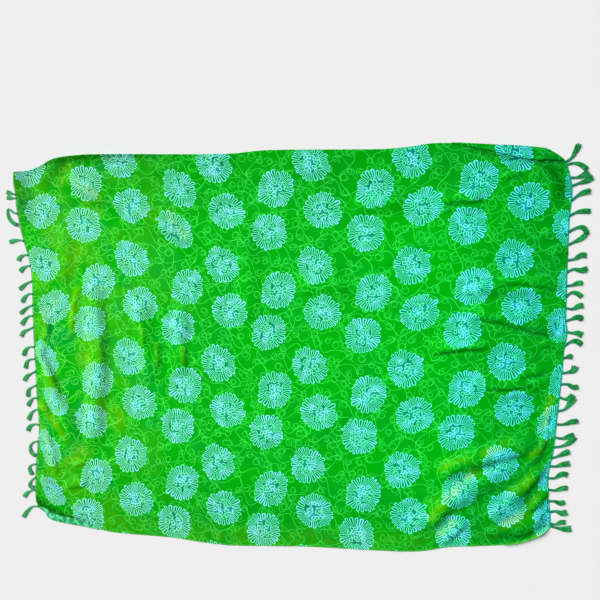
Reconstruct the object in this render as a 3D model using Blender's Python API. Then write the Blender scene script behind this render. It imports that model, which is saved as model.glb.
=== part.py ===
"""A fringed sarong laid out flat on a surface, print side up.

One rectangular length of thin woven cloth, about 1.6 m by 1.2 m, with a row of twisted
tassels on each short side. The cloth lies as it was put down: its outline wanders, soft
wrinkles stand up from the surface, one corner of the lower edge and one end of the upper
edge are turned over onto the face.

Frame: +X runs along the cloth's length, +Y along its width, +Z up from the surface.
The origin is the middle of the underside of the whole.
"""
import math

import bmesh
import bpy
import numpy as np
from mathutils import Vector

# Walls and clearances, in metres
CLOTH = 0.0016
CLEARANCE = 0.0003

# How finely the laid cloth is divided, along its length and across its width
CELLS_LONG = 54
CELLS_WIDE = 38
CURVE_SAMPLES = 400

# The four edges as they lie: x, y in metres, through smooth curves
TOP_EDGE = (
    (-0.829, 0.526), (-0.785, 0.530), (-0.744, 0.543), (-0.700, 0.563), (-0.640, 0.574),
    (-0.550, 0.578), (-0.170, 0.577), (-0.045, 0.587), (0.280, 0.588), (0.360, 0.594),
    (0.437, 0.604), (0.590, 0.598), (0.734, 0.587), (0.765, 0.573), (0.792, 0.553),
)
BOTTOM_EDGE = (
    (-0.772, -0.514), (-0.750, -0.530), (-0.735, -0.549), (-0.700, -0.558), (-0.600, -0.572),
    (-0.527, -0.584), (-0.345, -0.590), (-0.170, -0.604), (0.045, -0.595), (0.340, -0.593),
    (0.420, -0.588), (0.500, -0.571), (0.655, -0.556), (0.700, -0.547), (0.735, -0.532),
    (0.765, -0.514), (0.785, -0.495),
)
LEFT_EDGE = (
    (-0.772, -0.514), (-0.780, -0.490), (-0.778, -0.400), (-0.770, -0.320), (-0.764, -0.265),
    (-0.768, -0.180), (-0.774, -0.010), (-0.776, 0.090), (-0.777, 0.210), (-0.785, 0.262),
    (-0.806, 0.338), (-0.822, 0.425), (-0.822, 0.450), (-0.829, 0.490), (-0.829, 0.526),
)
RIGHT_EDGE = (
    (0.785, -0.495), (0.783, -0.455), (0.776, -0.400), (0.775, -0.335), (0.786, -0.270),
    (0.794, -0.165), (0.802, -0.060), (0.806, 0.020), (0.813, 0.075), (0.808, 0.110),
    (0.808, 0.390), (0.813, 0.470), (0.804, 0.520), (0.792, 0.553),
)

# The largest wrinkles. Columns: start, middle, end (x, y in metres), half width, height
WRINKLES = (
    ((-0.66, 0.52), (-0.50, 0.44), (-0.25, 0.29), 0.050, 0.014),
    ((-0.59, 0.24), (-0.57, -0.05), (-0.60, -0.34), 0.045, 0.015),
    ((-0.45, 0.18), (-0.42, 0.03), (-0.40, -0.12), 0.045, 0.010),
    ((-0.31, 0.15), (-0.31, 0.02), (-0.32, -0.10), 0.038, 0.007),
    ((-0.74, -0.08), (-0.69, -0.19), (-0.64, -0.33), 0.045, 0.012),
    ((-0.76, 0.49), (-0.71, 0.53), (-0.66, 0.56), 0.038, 0.007),
    ((-0.13, 0.42), (-0.10, 0.25), (-0.11, 0.05), 0.050, 0.006),
    ((0.04, 0.18), (0.12, 0.19), (0.20, 0.18), 0.040, 0.007),
    ((0.20, 0.42), (0.27, 0.43), (0.35, 0.42), 0.040, 0.007),
    ((0.44, 0.43), (0.50, 0.44), (0.58, 0.43), 0.040, 0.008),
    ((0.52, 0.20), (0.66, 0.20), (0.79, 0.20), 0.042, 0.010),
    ((0.51, 0.12), (0.65, 0.11), (0.78, 0.07), 0.042, 0.011),
    ((0.43, 0.03), (0.52, 0.02), (0.63, 0.03), 0.040, 0.008),
    ((0.55, -0.08), (0.65, -0.09), (0.76, -0.08), 0.042, 0.009),
    ((0.45, -0.35), (0.60, -0.30), (0.76, -0.23), 0.048, 0.013),
    ((0.38, -0.54), (0.52, -0.42), (0.68, -0.33), 0.050, 0.012),
    ((0.60, -0.50), (0.67, -0.43), (0.72, -0.37), 0.042, 0.008),
    ((0.63, -0.555), (0.71, -0.535), (0.79, -0.485), 0.036, 0.009),
    ((-0.20, -0.20), (0.00, -0.26), (0.20, -0.22), 0.055, 0.005),
)
WRINKLE_POINTS = 24
WRINKLE_END = 0.3

# The edge turned over onto the face. Columns: x along the edge, width turned over
TURNED_BOTTOM = ((-0.744, 0.010), (-0.713, 0.021), (-0.663, 0.019), (-0.624, 0.014), (-0.585, 0.006))
TURNED_TOP = (
    (0.504, 0.006), (0.587, 0.014), (0.648, 0.028), (0.710, 0.034), (0.749, 0.032), (0.780, 0.012),
)
TURNED_STEPS = 12
TURNED_ROLL = (0.0, 0.3, 0.65, 1.0)
TURNED_ARCH = (0.0002, 0.0030, 0.0022, 0.0)
TURNED_INSET = 0.001

# The tassels: x and y sizes in millimetres, from the root to the tip.
# Columns: root's y along the edge (m), reach outwards, reach along +Y, bow to the left of the way
RIGHT_TASSELS = (
    (0.542, 39, 47, 4), (0.520, 54, 8, 0), (0.492, 50, 10, 3), (0.466, 53, 12, -3),
    (0.434, 55, 30, -3), (0.403, 58, 12, 4), (0.355, 50, 2, 9), (0.320, 48, 26, -2),
    (0.277, 56, 12, 4), (0.243, 60, 12, 5), (0.210, 50, 1, 4), (0.176, 50, 1, 8),
    (0.142, 52, 7, 2), (0.102, 47, -2, 8), (0.070, 44, -6, -6), (0.034, 50, 4, 4),
    (-0.002, 46, 6, -5), (-0.042, 40, 20, -6), (-0.076, 50, -5, 5), (-0.113, 44, -2, 5),
    (-0.148, 48, 9, -5), (-0.189, 58, 14, 4), (-0.227, 50, 5, 3), (-0.258, 49, 8, -3),
    (-0.288, 52, 12, 3), (-0.315, 58, 8, 3), (-0.347, 56, 6, -2), (-0.383, 56, 5, 2),
    (-0.412, 48, 2, -2), (-0.440, 53, -1, 3), (-0.465, 45, -4, -3), (-0.485, 62, -10, 2),
)
LEFT_TASSELS = (
    (0.452, 32, 8, 0), (0.405, 36, 10, 3), (0.360, 40, 14, 4), (0.317, 52, 3, 3),
    (0.280, 38, -19, 4), (0.240, 40, -18, 4), (0.201, 40, -26, 3), (0.163, 38, -24, 4),
    (0.125, 40, -26, 3), (0.088, 36, -26, 4), (0.046, 30, -20, 3), (-0.010, 38, -26, 4),
    (-0.047, 38, -26, 3), (-0.087, 44, -24, -4), (-0.128, 36, -26, 4), (-0.166, 34, -26, 3),
    (-0.208, 36, -28, 4), (-0.257, 43, -13, -4), (-0.308, 24, -34, 12), (-0.375, 22, -30, 10),
    (-0.430, 40, -8, 3), (-0.465, 44, -5, -4), (-0.490, 48, -30, 4),
)
MILLIMETRE = 0.001
BAND_WIDTH = 0.004
BAND_END = 0.006

# A tassel's sections. Columns: share of its length, half width, half height
TASSEL_SECTIONS = (
    (0.12, 0.0022, 0.0016), (0.32, 0.0025, 0.0019), (0.50, 0.0036, 0.0025),
    (0.72, 0.0050, 0.0032), (0.94, 0.0056, 0.0033), (1.00, 0.0042, 0.0024),
)

# Materials. Columns: colour (linear red, green, blue), roughness
GREEN_PRINT = ((0.005, 0.42, 0.012), 0.6)
TASSEL_GREEN = ((0.010, 0.20, 0.050), 0.8)


def clear_scene():
    for item in list(bpy.data.objects):
        bpy.data.objects.remove(item, do_unlink=True)


def cloth_material(name, finish):
    colour, roughness = finish
    material = bpy.data.materials.new(name)
    material.use_nodes = True
    shader = material.node_tree.nodes["Principled BSDF"]
    shader.inputs["Base Color"].default_value = (*colour, 1.0)
    shader.inputs["Roughness"].default_value = roughness
    shader.inputs["Metallic"].default_value = 0.0
    return material


def smooth_curve(points):
    """Points evenly spaced along a Catmull-Rom curve through the given ones."""
    given = np.array(points)
    padded = np.vstack((2 * given[0] - given[1], given, 2 * given[-1] - given[-2]))
    steps = np.linspace(0.0, 1.0, 12, endpoint=False)[:, None]
    pieces = []
    for before, start, end, after in zip(padded, padded[1:], padded[2:], padded[3:]):
        tension = max(np.linalg.norm(end - start), 1e-6)
        leave = (end - before) / max(np.linalg.norm(end - before), 1e-6) * tension
        arrive = (after - start) / max(np.linalg.norm(after - start), 1e-6) * tension
        pieces.append(
            (2 * steps**3 - 3 * steps**2 + 1) * start
            + (steps**3 - 2 * steps**2 + steps) * leave
            + (3 * steps**2 - 2 * steps**3) * end
            + (steps**3 - steps**2) * arrive
        )
    path = np.vstack(pieces + [given[-1:]])
    run = np.concatenate(([0.0], np.cumsum(np.linalg.norm(np.diff(path, axis=0), axis=1))))
    even = np.linspace(0.0, run[-1], CURVE_SAMPLES)
    return np.column_stack((np.interp(even, run, path[:, 0]), np.interp(even, run, path[:, 1])))


def at_share(curve, share):
    places = np.linspace(0.0, 1.0, len(curve))
    return np.column_stack((np.interp(share, places, curve[:, 0]), np.interp(share, places, curve[:, 1])))


def laid_points():
    """Where each point of the cloth lies: the four edges blended across the middle."""
    bottom, top = smooth_curve(BOTTOM_EDGE), smooth_curve(TOP_EDGE)
    left, right = smooth_curve(LEFT_EDGE), smooth_curve(RIGHT_EDGE)
    along = np.linspace(0.0, 1.0, CELLS_LONG + 1)
    across = np.linspace(0.0, 1.0, CELLS_WIDE + 1)
    low, high = at_share(bottom, along)[:, None], at_share(top, along)[:, None]
    near, far = at_share(left, across)[None], at_share(right, across)[None]
    u, v = along[:, None, None], across[None, :, None]
    corners = (
        (1 - u) * (1 - v) * bottom[0] + u * (1 - v) * bottom[-1] + (1 - u) * v * top[0] + u * v * top[-1]
    )
    return (1 - v) * low + v * high + (1 - u) * near + u * far - corners


def wrinkle_lift(places):
    """Height of the underside over the surface: each wrinkle is a round ridge with soft ends."""
    height = np.zeros(places.shape[:-1])
    steps = np.linspace(0.0, 1.0, WRINKLE_POINTS)
    for start, middle, end, half_width, rise in WRINKLES:
        a, b, c = (np.array(point) for point in (start, middle, end))
        bend = 2 * b - (a + c) / 2
        line = np.array([(1 - s) ** 2 * a + 2 * s * (1 - s) * bend + s**2 * c for s in steps])
        away = np.linalg.norm(places[..., None, :] - line, axis=-1)
        nearest = away.argmin(axis=-1)
        from_end = np.minimum(steps[nearest], 1 - steps[nearest]) / WRINKLE_END
        fade = np.sin(np.clip(from_end, 0.0, 1.0) * math.pi / 2)
        across = np.clip(away.min(axis=-1) / half_width, 0.0, 1.0)
        height = np.maximum(height, rise * fade * np.cos(across * math.pi / 2) ** 2)
    height[height < 0.0002] = 0.0
    return height


def add_object(name, mesh_data, material):
    mesh = bpy.data.meshes.new(name)
    mesh_data.normal_update()
    mesh_data.to_mesh(mesh)
    mesh_data.free()
    mesh.materials.append(material)
    mesh.shade_smooth()
    item = bpy.data.objects.new(name, mesh)
    bpy.context.scene.collection.objects.link(item)
    return item


def cloth_wall(name, under, material):
    """A closed wall whose underside is the given grid of points, CLOTH thick upwards."""
    build = bmesh.new()
    rise = Vector((0.0, 0.0, CLOTH))
    low = [[build.verts.new(point) for point in row] for row in under]
    high = [[build.verts.new(Vector(point) + rise) for point in row] for row in under]
    rows, columns = len(low), len(low[0])
    for i in range(rows - 1):
        for j in range(columns - 1):
            build.faces.new((high[i][j], high[i + 1][j], high[i + 1][j + 1], high[i][j + 1]))
            build.faces.new((low[i][j], low[i][j + 1], low[i + 1][j + 1], low[i + 1][j]))
    rim = [(i, 0) for i in range(rows)] + [(rows - 1, j) for j in range(1, columns)]
    rim += [(i, columns - 1) for i in range(rows - 2, -1, -1)]
    rim += [(0, j) for j in range(columns - 2, 0, -1)]
    for (i, j), (k, m) in zip(rim, rim[1:] + rim[:1]):
        build.faces.new((low[i][j], low[k][m], high[k][m], high[i][j]))
    return add_object(name, build, material)


def make_panel(places, material):
    under = np.dstack((places, wrinkle_lift(places)))
    return cloth_wall("panel", under.tolist(), material)


def make_turned_edge(name, edge, table, inward, material):
    """The strip of cloth beyond a fold line, lying over on the face as a low arch."""
    curve = smooth_curve(edge)
    table = np.array(table)
    stations = np.linspace(table[0, 0], table[-1, 0], TURNED_STEPS + 1)
    widths = np.interp(stations, table[:, 0], table[:, 1])
    edge_y = np.interp(stations, curve[:, 0], curve[:, 1]) + inward * TURNED_INSET
    face = CLOTH + CLEARANCE
    under = []
    for x, y, width in zip(stations, edge_y, widths):
        row = [(x, y + inward * width * roll, face + arch) for roll, arch in zip(TURNED_ROLL, TURNED_ARCH)]
        under.append(row if inward > 0 else row[::-1])
    return cloth_wall(name, under, material)


def tassel_path(root, reach_out, reach_along, bow, side):
    """Middle line of one tassel on the surface, as a curve from its root to its tip."""
    tip = root + np.array((side * reach_out, reach_along)) * MILLIMETRE
    way = (tip - root) / np.linalg.norm(tip - root)
    left_of_way = np.array((-way[1], way[0])) * side
    bend = (root + tip) / 2 + left_of_way * 2 * bow * MILLIMETRE
    return lambda s: (1 - s) ** 2 * root + 2 * s * (1 - s) * bend + s**2 * tip


def make_fringe(name, edge_points, tassels, side, material):
    """A narrow band just outside the cloth's short edge, with its tassels grown out of it."""
    edge = edge_points[np.argsort(edge_points[:, 1])]
    root_half = TASSEL_SECTIONS[0][1]
    ends = (edge[0, 1] + BAND_END, edge[-1, 1] - BAND_END)
    roots = {round(row[0] - root_half, 5): row for row in tassels}
    marks = set(roots) | {round(row[0] + root_half, 5) for row in tassels} | set(ends)
    for y in edge[:, 1]:
        clear = all(abs(y - row[0]) > 2 * root_half for row in tassels)
        if clear and ends[0] < y < ends[1]:
            marks.add(y)
    build = bmesh.new()
    rings = []
    stations = sorted(marks)
    for y in stations:
        inner = np.interp(y, edge[:, 1], edge[:, 0]) + side * CLEARANCE * 1.3
        outer = inner + side * BAND_WIDTH
        corners = ((inner, 0.0), (outer, 0.0), (outer, CLOTH), (inner, CLOTH))
        rings.append([build.verts.new((x, y, z)) for x, z in corners])
    for ring, following, y in zip(rings, rings[1:], stations):
        for k in range(4):
            corners = (ring[k], ring[(k + 1) % 4], following[(k + 1) % 4], following[k])
            if k == 1 and y in roots:
                grow_tassel(build, corners, roots[y], side)
            else:
                build.faces.new(corners)
    build.faces.new(rings[0][::-1])
    build.faces.new(rings[-1])
    bmesh.ops.recalc_face_normals(build, faces=build.faces)
    return add_object(name, build, material)


def grow_tassel(build, root_corners, row, side):
    root_y, reach_out, reach_along, bow = row
    root = np.array((root_corners[0].co.x, root_y))
    path = tassel_path(root, reach_out, reach_along, bow, side)
    before = root_corners
    for share, half_width, half_height in TASSEL_SECTIONS:
        here = path(share)
        way = path(min(share + 0.02, 1.0)) - path(share - 0.02)
        way = way / np.linalg.norm(way)
        across = Vector((-way[1], way[0], 0.0)) * half_width * side
        middle = Vector((here[0], here[1], half_height + CLEARANCE + 0.0002))
        up = Vector((0.0, 0.0, half_height))
        ring = [build.verts.new(middle + step) for step in (-across - up, -across + up, across + up, across - up)]
        for k in range(4):
            build.faces.new((before[k], before[(k + 1) % 4], ring[(k + 1) % 4], ring[k]))
        before = ring
    build.faces.new(before)


def centre_on_origin(items):
    """Slide everything together so that the origin is under the middle of the whole."""
    corners = np.array([vertex.co for item in items for vertex in item.data.vertices])
    middle = (corners.min(axis=0) + corners.max(axis=0)) / 2
    for item in items:
        for vertex in item.data.vertices:
            vertex.co.x -= middle[0]
            vertex.co.y -= middle[1]


def main():
    clear_scene()
    cloth = cloth_material("printed_cloth", GREEN_PRINT)
    yarn = cloth_material("tassel_yarn", TASSEL_GREEN)
    places = laid_points()
    items = [
        make_panel(places, cloth),
        make_turned_edge("turned_edge_bottom", BOTTOM_EDGE, TURNED_BOTTOM, 1.0, cloth),
        make_turned_edge("turned_edge_top", TOP_EDGE, TURNED_TOP, -1.0, cloth),
        make_fringe("fringe_left", places[0], LEFT_TASSELS, -1.0, yarn),
        make_fringe("fringe_right", places[-1], RIGHT_TASSELS, 1.0, yarn),
    ]
    centre_on_origin(items)


main()
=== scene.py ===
"""The looks of a fringed green sarong laid out flat: printed cloth, turned edges and tassels."""
import math
import random
from functools import partialmethod

import bpy
import numpy as np
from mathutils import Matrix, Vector


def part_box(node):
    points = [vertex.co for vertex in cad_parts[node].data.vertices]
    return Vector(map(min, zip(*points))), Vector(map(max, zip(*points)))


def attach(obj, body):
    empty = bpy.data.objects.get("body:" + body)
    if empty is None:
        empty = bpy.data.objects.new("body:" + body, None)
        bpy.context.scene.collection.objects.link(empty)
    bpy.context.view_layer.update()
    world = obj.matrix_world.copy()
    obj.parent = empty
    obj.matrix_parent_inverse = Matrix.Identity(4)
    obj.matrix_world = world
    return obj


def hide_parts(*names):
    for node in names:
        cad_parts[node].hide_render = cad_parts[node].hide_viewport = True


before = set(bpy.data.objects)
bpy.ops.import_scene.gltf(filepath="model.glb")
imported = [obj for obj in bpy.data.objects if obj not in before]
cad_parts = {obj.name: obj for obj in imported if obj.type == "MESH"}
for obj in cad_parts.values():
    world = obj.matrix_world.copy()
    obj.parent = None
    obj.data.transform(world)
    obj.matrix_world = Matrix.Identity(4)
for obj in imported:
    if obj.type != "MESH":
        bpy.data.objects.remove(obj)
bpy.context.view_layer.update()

# Sizes in metres. The tables of how the cloth lies, and those of the tassels, are in millimetres.
# The laid outline and its wrinkles repeat those of the solids
MILLIMETRE = 0.001
CUT_LONG, CUT_WIDE = 1.60, 1.18
THICKNESS = 0.0007
CELLS_LONG, CELLS_WIDE = 334, 246
UNDER_STEP = 3
CURVE_STEPS, CURVE_SAMPLES = 12, 800

# The four edges as they lie: smooth curves through these points, x and y
TOP_EDGE = (
    (-829, 526), (-785, 530), (-744, 543), (-700, 563), (-640, 574), (-550, 578), (-170, 577),
    (-45, 587), (280, 588), (360, 594), (437, 604), (590, 598), (734, 587), (765, 573), (792, 553),
)
BOTTOM_EDGE = (
    (-772, -514), (-750, -530), (-735, -549), (-700, -558), (-600, -572), (-527, -584),
    (-345, -590), (-170, -604), (45, -595), (340, -593), (420, -588), (500, -571), (655, -556),
    (700, -547), (735, -532), (765, -514), (785, -495),
)
LEFT_EDGE = (
    (-772, -514), (-780, -490), (-778, -400), (-770, -320), (-764, -265), (-768, -180), (-774, -10),
    (-776, 90), (-777, 210), (-785, 262), (-806, 338), (-822, 425), (-822, 450), (-829, 490),
    (-829, 526),
)
RIGHT_EDGE = (
    (785, -495), (783, -455), (776, -400), (775, -335), (786, -270), (794, -165), (802, -60),
    (806, 20), (813, 75), (808, 110), (808, 390), (813, 470), (804, 520), (792, 553),
)

# Wrinkles. Columns: x and y of the start, of the middle and of the end, half width, height
WRINKLES = (
    (-660, 520, -500, 440, -250, 290, 50, 14), (-590, 240, -570, -50, -600, -340, 45, 15),
    (-450, 180, -420, 30, -400, -120, 45, 10), (-310, 150, -310, 20, -320, -100, 38, 7),
    (-740, -80, -690, -190, -640, -330, 45, 12), (-760, 490, -710, 530, -660, 560, 38, 7),
    (-130, 420, -100, 250, -110, 50, 50, 6), (40, 180, 120, 190, 200, 180, 40, 7),
    (200, 420, 270, 430, 350, 420, 40, 7), (440, 430, 500, 440, 580, 430, 40, 8),
    (520, 200, 660, 200, 790, 200, 42, 10), (510, 120, 650, 110, 780, 70, 42, 11),
    (430, 30, 520, 20, 630, 30, 40, 8), (550, -80, 650, -90, 760, -80, 42, 9),
    (450, -350, 600, -300, 760, -230, 48, 13), (380, -540, 520, -420, 680, -330, 50, 12),
    (600, -500, 670, -430, 720, -370, 42, 8), (630, -555, 710, -535, 790, -485, 36, 9),
    (-200, -200, 0, -260, 200, -220, 55, 5),
)
# Finer ridges, and troughs below nought, added over them. Columns as above
CREASES = (
    (-661, 543, -599, 483, -537, 424, 40, 8), (-690, 363, -666, 291, -681, 169, 45, 6),
    (-605, 183, -634, 127, -646, 10, 24, 7), (-766, 83, -728, 56, -748, 9, 20, 6),
    (-759, -3, -731, -68, -691, -166, 28, 10), (-763, -181, -718, -227, -661, -310, 28, 10),
    (-741, -274, -723, -343, -708, -419, 22, 6), (-771, -398, -733, -447, -688, -515, 26, 8),
    (-687, -448, -648, -439, -609, -434, 22, 7), (-660, -379, -634, -369, -607, -361, 18, 4.5),
    (-563, 26, -557, -17, -551, -67, 18, 5), (-430, 71, -424, 35, -424, -2, 16, 4.5),
    (-380, 18, -380, -19, -381, -68, 16, 4.5), (-299, 8, -297, -23, -294, -59, 16, 4.5),
    (617, 505, 644, 511, 677, 519, 18, 5.5), (452, 443, 513, 446, 574, 455, 26, 7.5),
    (731, 360, 770, 327, 804, 283, 28, 8.5), (614, 211, 702, 215, 796, 191, 22, 8),
    (552, 123, 650, 102, 773, 62, 28, 11), (438, 2, 506, 22, 596, 27, 21, 9),
    (741, 42, 774, 32, 800, 10, 21, 6.5), (677, -57, 716, -47, 760, -43, 24, 7.5),
    (588, -85, 653, -86, 722, -75, 19, 7.5), (474, -365, 530, -319, 610, -303, 30, 9),
    (661, -415, 717, -374, 770, -298, 32, 11), (704, -307, 748, -282, 781, -193, 24, 7),
    (724, -454, 751, -420, 786, -374, 22, 7.5), (445, -520, 473, -470, 507, -438, 30, 10),
    (471, -565, 511, -527, 550, -488, 28, 8), (590, -516, 700, -504, 775, -448, 30, 10),
    (640, -562, 722, -549, 797, -482, 20, 8.5), (-800, 534, -610, 582, -260, 582, 28, 12),
    (690, 520, 748, 505, 772, 440, 48, 11.5), (700, 551, 762, 540, 812, 486, 22, -11),
    (596, -546, 706, -537, 790, -481, 20, -11), (556, -338, 640, -316, 715, -296, 22, -7),
    (752, -300, 780, -240, 800, -160, 22, -8), (456, 428, 517, 431, 578, 440, 14, -5),
    (737, 343, 776, 310, 808, 268, 14, -5), (618, 197, 706, 201, 800, 177, 14, -6),
    (556, 106, 654, 85, 777, 45, 15, -8), (442, -13, 510, 7, 600, 12, 13, -6),
    (745, 27, 778, 17, 806, -5, 13, -5), (681, -73, 720, -63, 764, -59, 14, -6),
    (592, -99, 657, -100, 726, -89, 13, -6), (-615, 170, -632, 110, -640, 10, 18, -6),
    (-738, -10, -712, -75, -680, -160, 20, -7), (-745, -190, -700, -240, -650, -310, 20, -7),
    (-745, -440, -705, -490, -650, -530, 22, -8),
)
# Slight unevenness all over. Columns: length of a wave, its way in degrees, its start in radians, height
RIPPLES = (
    (71, 62, 0.4, 0.4),
    (93, 118, 2.1, 0.55),
    (57, 12, 4.0, 0.3),
    (140, 84, 1.2, 0.7),
    (44, 97, 5.5, 0.2),
)
# Painted highlights: where the lit sides of the folds are painted yellowish. Columns as for the
# wrinkles, but with a strength at the end. A strength above 1 stays full through more of the
# patches that break the highlight up
HIGHLIGHT_STRIPS = (
    (-661, 555, -667, 525, -681, 477, 26, 0.8), (-619, 442, -581, 424, -538, 406, 45, 0.45),
    (-728, 357, -703, 327, -665, 315, 45, 0.45), (-608, 321, -647, 267, -668, 184, 45, 0.75),
    (-432, 418, -395, 400, -352, 389, 40, 0.35), (-614, 188, -643, 132, -655, 15, 18, 1.3),
    (-773, 87, -735, 60, -755, 13, 15, 0.9), (-613, 47, -601, -20, -609, -95, 50, 0.75),
    (-569, 30, -563, -13, -557, -63, 13, 0.8), (-578, -163, -553, -193, -535, -242, 40, 0.35),
    (-515, -179, -502, -222, -490, -265, 40, 0.7), (-436, 75, -430, 39, -430, 2, 13, 0.6),
    (-386, 22, -386, -15, -387, -64, 12, 0.7), (-305, 12, -303, -19, -300, -55, 13, 0.6),
    (-765, -10, -741, -62, -701, -160, 16, 0.9), (-773, -175, -728, -221, -665, -315, 17, 1.5),
    (-755, -250, -735, -330, -716, -414, 14, 1.2), (-606, -308, -639, -347, -679, -393, 50, 1.0),
    (-557, -464, -532, -488, -513, -544, 40, 0.3), (775, -99, 768, -146, 751, -222, 18, 1.6),
    (712, -288, 745, -269, 765, -227, 18, 1.3), (463, -353, 502, -312, 570, -294, 22, 1.0),
    (664, -397, 708, -371, 736, -340, 22, 1.5), (716, -442, 732, -423, 759, -380, 15, 1.3),
    (437, -499, 459, -461, 487, -430, 22, 1.5), (461, -546, 489, -514, 523, -482, 22, 1.3),
    (646, -557, 725, -540, 790, -474, 12, 1.2), (-660, -545, 0, -580, 700, -535, 70, 0.32),
    (462, -455, 521, -389, 580, -323, 24, 1.3), (575, -300, 625, -266, 680, -244, 22, 1.2),
    (635, -500, 686, -476, 735, -441, 24, 1.3), (-652, 511, -596, 477, -540, 440, 24, 1.2),
    (-355, 420, -315, 368, -276, 314, 26, 0.9), (-765, 80, -724, 112, -683, 150, 26, 0.9),
)
# Painted shade: where the print is darkened at the corners, along parts of the long edges and in
# the sharpest folds. Columns as above
SHADE_STRIPS = (
    (-790, -470, -722, -526, -580, -562, 17, 1.0), (-810, 560, -806, 480, -785, 350, 50, 0.55),
    (-790, 500, -660, 556, -360, 566, 30, 0.4), (680, 540, 770, 515, 796, 410, 40, 0.4),
    (560, -528, 690, -520, 778, -470, 16, 0.1), (500, 599, 600, 574, 690, 556, 20, 0.55),
    (640, 560, 714, 552, 784, 541, 16, 0.5),
)
# Folds that take up cloth, so that the print is squeezed across them, or is drawn out below nought.
# Columns: x and y of the middle, way of the fold in degrees, half width, half length, cloth taken up
TUCKS = (
    (-734, -40, -65, 70, 130, 16),
    (-708, -176, -52, 68, 130, 18),
    (-727, -322, -58, 70, 130, 14),
    (-727, -466, -52, 78, 140, 22),
    (-330, 358, -50, 85, 150, 13),
    (-318, 478, -52, 80, 130, 13),
    (-325, 358, 40, 150, 110, -9),
    (-312, 478, 38, 140, 100, -7),
    (-599, 492, -48, 70, 110, 5),
    (-280, 187, -85, 70, 120, 4),
)
WRINKLE_POINTS = 40
WRINKLE_END = 0.3
RIPPLE_BENDS, RIPPLE_BEND = 9.0, 0.4
TALLEST = 0.0175
CREASE_LEAN = 0.3
# A highlight is painted on slopes that rise along this way, most of all at the left and the lower edge
SHADED_WAY = (0.85, -0.53)
SLOPE_HIGHLIGHT, MOST_HIGHLIGHT = 0.8, 0.6
HIGHLIGHT_BELOW, HIGHLIGHT_LEFT_OF, HIGHLIGHT_SOFT = -0.20, -0.30, 0.20
LEAST_SHARE = 0.08

# The edges turned over onto the face. Columns: x along the edge, width turned over, height of the
# strip's free edge above the cloth under it
TURNED_BOTTOM = (
    (-770, 2, 2), (-757, 10, 3), (-740, 16, 3.4), (-713, 20, 3.4),
    (-663, 19, 3.4), (-624, 14, 3), (-575, 2, 2),
)
TURNED_TOP = (
    (480, 2, 2), (587, 14, 4), (648, 28, 4.6), (700, 34, 6),
    (730, 34, 8), (760, 24, 7.5), (788, 4, 4),
)
TURNED_ROWS = 12
FOLD_RADIUS = 0.0018
LEAST_TURNED = 0.004

# The tassels as they lie. Columns: the root's y along the edge, then how far each further point
# of its line is from the root, x and y
RIGHT_TASSELS = (
    (549, 16, 11, 28, 33, 36, 52), (541, 19, 5, 40, 0, 57, -14),
    (506, 20, 1, 38, 8, 52, 16), (483, 21, 8, 42, 16, 58, 27),
    (442, 21, 17, 39, 25, 55, 28), (400, 21, 11, 40, 14, 59, 14),
    (355, 24, 13, 42, 12, 52, -9), (319, 15, 8, 34, 18, 50, 32),
    (277, 19, 3, 37, 14, 54, 15), (243, 19, 9, 40, 6, 59, 12),
    (204, 16, 3, 32, 9, 46, 9), (173, 13, 12, 29, 12, 46, 1),
    (142, 19, -2, 35, 6, 51, 9), (105, 16, 6, 32, 12, 49, 7),
    (74, 16, -2, 30, -2, 44, -8), (34, 16, 12, 32, 15, 49, 4),
    (-1, 11, 3, 19, 6, 27, 6), (-44, 16, 3, 33, 10, 38, 24),
    (-76, 19, 1, 36, -7, 50, -4), (-113, 19, -5, 33, 1, 41, 10),
    (-154, 19, 6, 35, 27, 45, 45), (-192, 22, 1, 44, 10, 63, 14),
    (-230, 22, -2, 41, 5, 55, 11), (-259, 22, 4, 44, 16, 60, 35),
    (-291, 19, 7, 36, 16, 52, 23), (-315, 19, 1, 39, 8, 58, 11),
    (-350, 19, 1, 39, 14, 58, 12), (-383, 20, -2, 39, 5, 58, 9),
    (-418, 17, 1, 34, -4, 47, 2), (-450, 17, 4, 34, -1, 50, 3),
    (-483, 17, -2, 31, 5, 45, 5), (-491, 23, -5, 42, -7, 62, -5),
)
LEFT_TASSELS = (
    (458, -12, 2, -22, 6, -31, 8), (447, -10, 0, -20, 1, -31, 3),
    (400, -15, 3, -30, 14, -32, -2, -26, -18, -10, -32, 5, -36), (317, -19, 3, -36, 0, -49, -3),
    (274, -13, 0, -26, -6, -33, -19), (241, -10, 0, -23, -6, -36, -19),
    (195, -16, -6, -30, -16, -43, -28), (155, -13, 0, -26, -10, -36, -28),
    (121, -16, -6, -33, -19, -43, -29), (87, -13, 0, -26, -10, -40, -29),
    (53, -16, -7, -33, -16, -43, -32), (-9, -16, 0, -30, -10, -37, -29),
    (-47, -13, 0, -26, -7, -33, -32), (-84, -13, -7, -30, -17, -40, -33),
    (-128, -16, -7, -27, -17, -30, -39), (-169, -13, 0, -23, -10, -33, -26),
    (-204, -13, -4, -23, -13, -34, -36), (-254, -13, 3, -30, -4, -40, -21),
    (-305, -17, -4, -27, -17, -24, -36, -8, -48), (-379, -13, -1, -23, -11, -14, -36),
    (-420, -13, -10, -20, -27, -4, -36), (-462, -13, -1, -30, -11, -40, -25),
    (-514, -20, -1, -37, -15, -54, -38),
)

# A tassel's bundle of yarns. Columns: share of its length, half width, half height
BUNDLE = (
    (0.00, 4.2, 0.8), (0.08, 3.4, 1), (0.32, 3.6, 1.2), (0.48, 5.6, 1.4),
    (0.70, 7.6, 1.5), (0.94, 8.2, 1.5), (1.00, 7.8, 1.3),
)
# Rings of yarns round the bundle's middle. Columns: yarns, how far out the ring is
YARN_RINGS = ((14, 0.92), (9, 0.58), (4, 0.20))
YARN_RADIUS, YARN_CLEAR = 0.00075, 0.0001
YARN_TIP = 0.45
YARN_SECTIONS, YARN_SIDES = 16, 4
YARN_TURNS = 1.3
YARN_NECK = 0.45
LOOK_AHEAD = 0.02
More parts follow.
